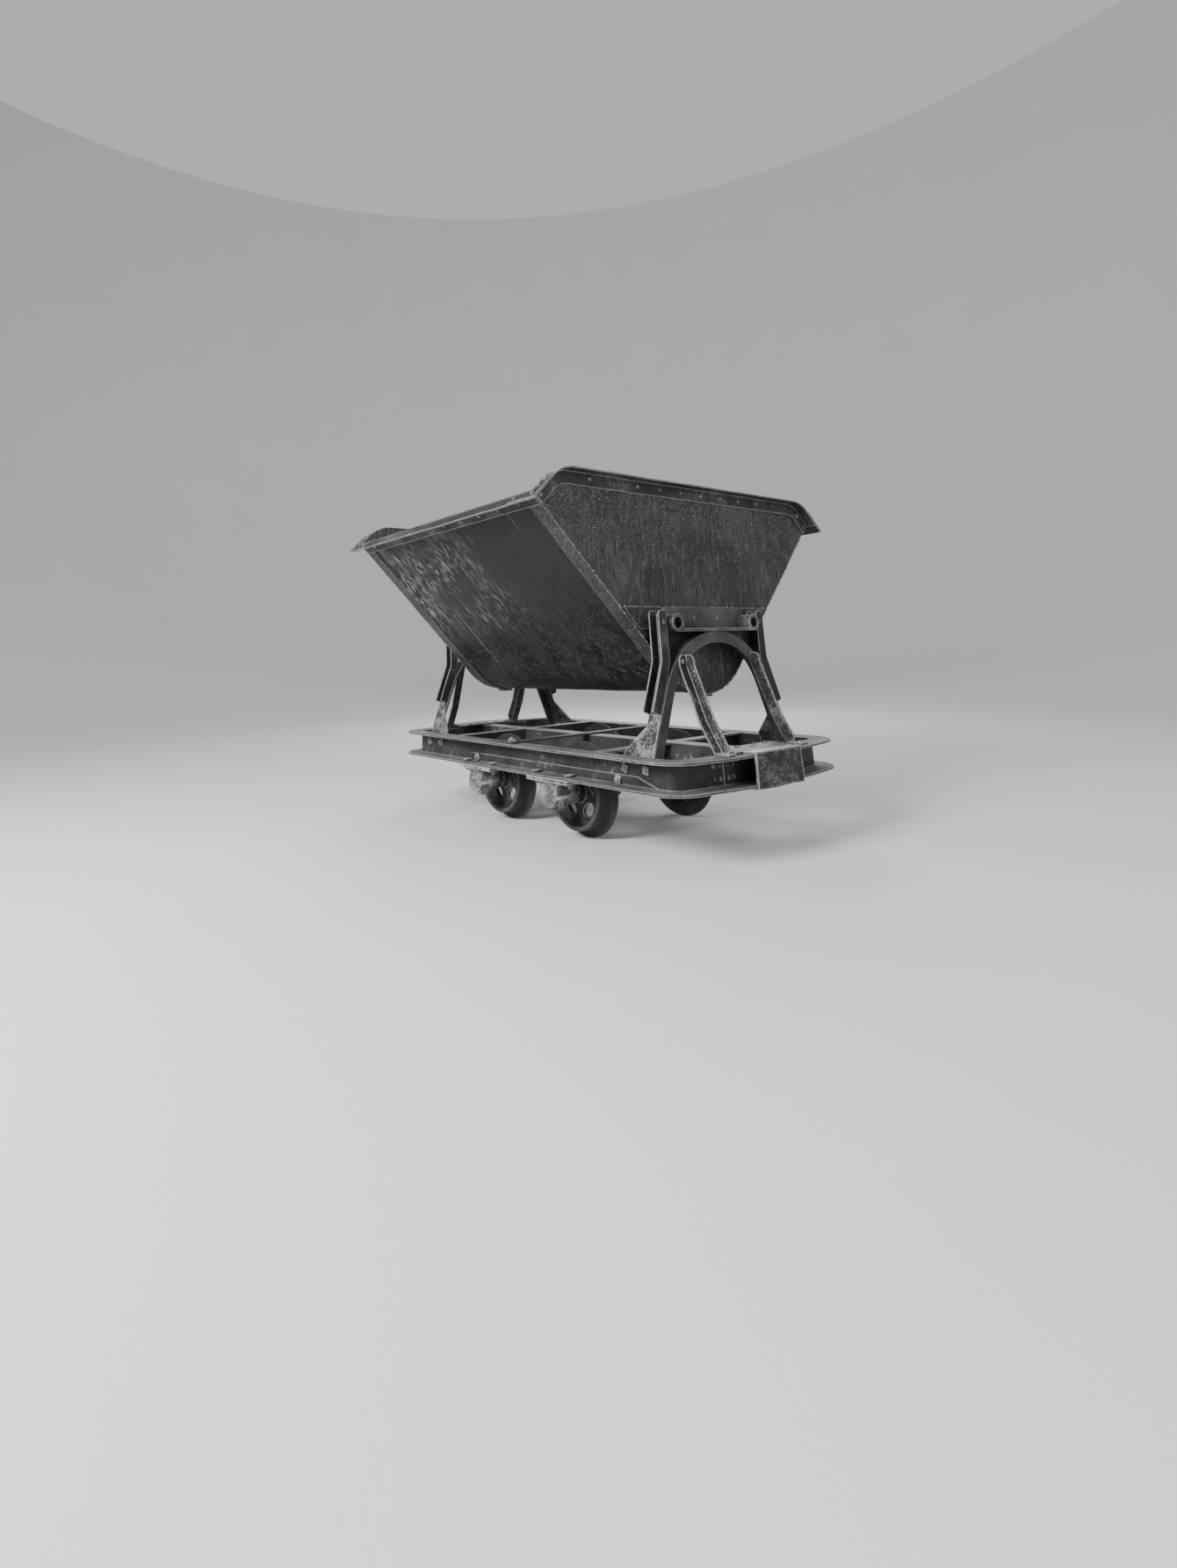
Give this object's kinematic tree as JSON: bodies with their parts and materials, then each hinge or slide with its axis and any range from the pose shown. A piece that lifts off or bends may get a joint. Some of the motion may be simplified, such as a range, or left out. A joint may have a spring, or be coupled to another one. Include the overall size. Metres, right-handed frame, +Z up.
{
  "type": "mine cart",
  "caption": "Narrow-gauge side-tipping mine cart: a V-shaped riveted skip that rolls on two arched stands over a channel underframe with outside axle boxes and flanged wheels.",
  "frame": {"origin": "on the ground plane under the middle of the cart, level with the lowest point of the wheel flanges", "axes": "+X along the track towards the front end, +Y across the track towards the left side, +Z up"},
  "size_m": [1.896, 1.7066, 1.339],
  "materials": {
    "skip_paint": "weathered dark grey paint with rust and scratches",
    "frame_paint": "weathered dark grey paint, worn and rusty at the edges",
    "worn_steel": "rusty steel with rubbed edges",
    "wheel_iron": "cast iron, tread rubbed bright",
    "cast_box": "rough cast iron, greasy",
    "bare_steel": "turned steel, dull",
    "bush_brass": "plain bearing bronze"
  },
  "bodies": {
    "frame": {"left_sill": "frame_paint", "right_sill": "frame_paint", "front_bow": "frame_paint", "rear_bow": "frame_paint", "bow_splices": "frame_paint", "front_nose_covers": "worn_steel", "rear_nose_covers": "worn_steel", "front_buffer_plate": "worn_steel", "rear_buffer_plate": "worn_steel", "centre_drawbar": "frame_paint", "front_cross_member": "frame_paint", "rear_cross_member": "frame_paint", "middle_tie_bar": "frame_paint", "sill_stiffeners": "frame_paint", "front_arch": "frame_paint", "rear_arch": "frame_paint", "front_left_horn": "frame_paint", "front_right_horn": "frame_paint", "rear_left_horn": "frame_paint", "rear_right_horn": "frame_paint", "stand_gussets": "frame_paint", "front_stand_braces": "frame_paint", "rear_stand_braces": "frame_paint", "front_left_axle_box": "cast_box", "front_right_axle_box": "cast_box", "rear_left_axle_box": "cast_box", "rear_right_axle_box": "cast_box", "axle_bushes": "bush_brass", "axle_box_caps": "cast_box", "axle_box_bolts": "frame_paint", "frame_rivets": "frame_paint", "stand_bolts": "frame_paint", "sill_bolts": "frame_paint"},
    "front_wheelset": {"front_axle": "bare_steel", "front_left_wheel": "wheel_iron", "front_right_wheel": "wheel_iron"},
    "rear_wheelset": {"rear_axle": "bare_steel", "rear_left_wheel": "wheel_iron", "rear_right_wheel": "wheel_iron"},
    "rolling_link": {"packing_plates": "worn_steel"},
    "skip": {"skip_shell": "skip_paint", "front_end_plate": "skip_paint", "rear_end_plate": "skip_paint", "front_rim": "skip_paint", "rear_rim": "skip_paint", "left_rim": "skip_paint", "right_rim": "skip_paint", "rim_corner_plates": "skip_paint", "front_doubler": "skip_paint", "rear_doubler": "skip_paint", "front_rocker_bracket": "skip_paint", "rear_rocker_bracket": "skip_paint", "front_rocker_strip": "worn_steel", "rear_rocker_strip": "worn_steel", "skip_base_bars": "skip_paint", "rim_rivets": "skip_paint", "corner_rivets": "skip_paint", "bracket_rivets": "skip_paint"}
  },
  "joints": [
    {"name": "tip_roll", "type": "hinge", "parent": "frame", "child": "rolling_link", "pos_m": [0, 0, 0.4356], "axis": [1, 0, 0], "range_deg": [-36, 36]},
    {"name": "tip_travel", "type": "slide", "parent": "rolling_link", "child": "skip", "axis": [0, 1, 0], "range_m": [-0.2082, 0.2082]},
    {"name": "front_wheels_turn", "type": "hinge", "parent": "frame", "child": "front_wheelset", "pos_m": [0.245, 0, 0.178], "axis": [0, 1, 0], "continuous": true},
    {"name": "rear_wheels_turn", "type": "hinge", "parent": "frame", "child": "rear_wheelset", "pos_m": [-0.245, 0, 0.178], "axis": [0, 1, 0], "continuous": true}
  ],
  "couplings": [
    {"joint": "tip_travel", "follows": "tip_roll", "m_per_rad": 0.3302}
  ]
}
